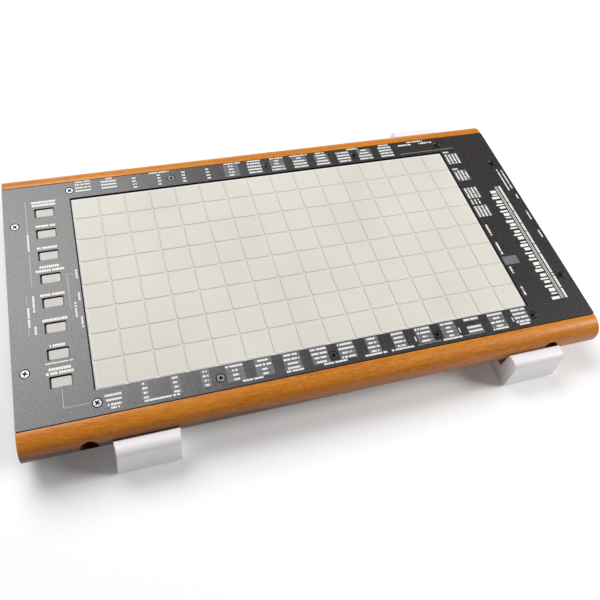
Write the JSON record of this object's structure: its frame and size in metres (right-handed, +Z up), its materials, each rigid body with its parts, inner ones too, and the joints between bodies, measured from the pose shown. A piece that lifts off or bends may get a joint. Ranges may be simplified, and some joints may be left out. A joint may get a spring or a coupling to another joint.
{
  "type": "midi keyboard",
  "caption": "Flat MIDI controller with a grid of soft square pads, a column of control keys, wooden rails along front and back, and clip-on stands.",
  "frame": {"origin": "centre of the plan at floor level, under the stands", "axes": "+X along the keyboard to the right (the jack side), +Y to the back, +Z up"},
  "size_m": [0.399, 0.2362, 0.0365],
  "materials": {
    "powder_coat": "fine texture powder coat, matt charcoal",
    "powder_coat_tray": "fine texture powder coat, black",
    "black_steel": "black oxide, satin",
    "zinc_steel": "zinc plated, bright",
    "cherry": "oiled cherry, satin",
    "rubber": "matt",
    "silicone": "translucent silicone, satin",
    "key_silicone": "translucent silicone, satin",
    "sensor_film": "printed polyester film",
    "white_plastic": "moulded, matt",
    "stand_plastic": "moulded, satin white",
    "circuit_board": "solder mask on fibreglass",
    "led_white": "clear epoxy over white",
    "aluminium": "mill finish",
    "black_plastic": "moulded, satin black",
    "capacitor_metal": "bright can",
    "jack_metal": "nickel plated shell",
    "ribbon": "flat polyester ribbon"
  },
  "bodies": {
    "instrument": {"top_panel": "powder_coat", "panel_screws": "black_steel", "panel_standoffs": "zinc_steel", "base_tray": "powder_coat_tray", "front_rail": "cherry", "rear_rail": "cherry", "rail_screws": "zinc_steel", "rubber_feet": "rubber", "foot_screws": "zinc_steel", "playing_surface": "silicone", "sensor_film": "sensor_film", "spacer_grid": "white_plastic", "light_board": "circuit_board", "pad_lights": "led_white", "support_plate": "aluminium", "plate_standoffs": "zinc_steel", "plate_screws": "zinc_steel", "key_switches": "black_plastic", "key_board": "circuit_board", "key_board_standoffs": "zinc_steel", "main_board": "circuit_board", "main_board_standoffs": "zinc_steel", "processor": "black_plastic", "board_components": "capacitor_metal", "board_connectors": "white_plastic", "board_screws": "zinc_steel", "pedal_jack": "black_plastic", "usb_jack": "jack_metal", "midi_jack": "black_plastic", "power_jack": "black_plastic", "sensor_ribbon": "ribbon", "light_ribbon": "ribbon", "key_ribbon": "ribbon"},
    "key_1": {"control_key_1": "key_silicone"},
    "key_2": {"control_key_2": "key_silicone"},
    "key_3": {"control_key_3": "key_silicone"},
    "key_4": {"control_key_4": "key_silicone"},
    "key_5": {"control_key_5": "key_silicone"},
    "key_6": {"control_key_6": "key_silicone"},
    "key_7": {"control_key_7": "key_silicone"},
    "key_8": {"control_key_8": "key_silicone"},
    "front_left_stand": {"front_left_stand": "stand_plastic"},
    "front_right_stand": {"front_right_stand": "stand_plastic"},
    "rear_left_stand": {"rear_left_stand": "stand_plastic"},
    "rear_right_stand": {"rear_right_stand": "stand_plastic"}
  },
  "joints": [
    {"name": "key_press_1", "type": "slide", "parent": "instrument", "child": "key_1", "axis": [0, 0, 1], "range_m": [-0.0008, 0], "stiffness_N_per_m": 600, "springref_m": 0.0003},
    {"name": "key_press_2", "type": "slide", "parent": "instrument", "child": "key_2", "axis": [0, 0, 1], "range_m": [-0.0008, 0], "stiffness_N_per_m": 600, "springref_m": 0.0003},
    {"name": "key_press_3", "type": "slide", "parent": "instrument", "child": "key_3", "axis": [0, 0, 1], "range_m": [-0.0008, 0], "stiffness_N_per_m": 600, "springref_m": 0.0003},
    {"name": "key_press_4", "type": "slide", "parent": "instrument", "child": "key_4", "axis": [0, 0, 1], "range_m": [-0.0008, 0], "stiffness_N_per_m": 600, "springref_m": 0.0003},
    {"name": "key_press_5", "type": "slide", "parent": "instrument", "child": "key_5", "axis": [0, 0, 1], "range_m": [-0.0008, 0], "stiffness_N_per_m": 600, "springref_m": 0.0003},
    {"name": "key_press_6", "type": "slide", "parent": "instrument", "child": "key_6", "axis": [0, 0, 1], "range_m": [-0.0008, 0], "stiffness_N_per_m": 600, "springref_m": 0.0003},
    {"name": "key_press_7", "type": "slide", "parent": "instrument", "child": "key_7", "axis": [0, 0, 1], "range_m": [-0.0008, 0], "stiffness_N_per_m": 600, "springref_m": 0.0003},
    {"name": "key_press_8", "type": "slide", "parent": "instrument", "child": "key_8", "axis": [0, 0, 1], "range_m": [-0.0008, 0], "stiffness_N_per_m": 600, "springref_m": 0.0003},
    {"name": "front_left_stand_slide", "type": "slide", "parent": "instrument", "child": "front_left_stand", "axis": [1, 0, 0], "range_m": [-0.04, 0.04]},
    {"name": "front_right_stand_slide", "type": "slide", "parent": "instrument", "child": "front_right_stand", "axis": [1, 0, 0], "range_m": [-0.04, 0.02]},
    {"name": "rear_left_stand_slide", "type": "slide", "parent": "instrument", "child": "rear_left_stand", "axis": [1, 0, 0], "range_m": [-0.04, 0.04]},
    {"name": "rear_right_stand_slide", "type": "slide", "parent": "instrument", "child": "rear_right_stand", "axis": [1, 0, 0], "range_m": [-0.04, 0.02]}
  ]
}
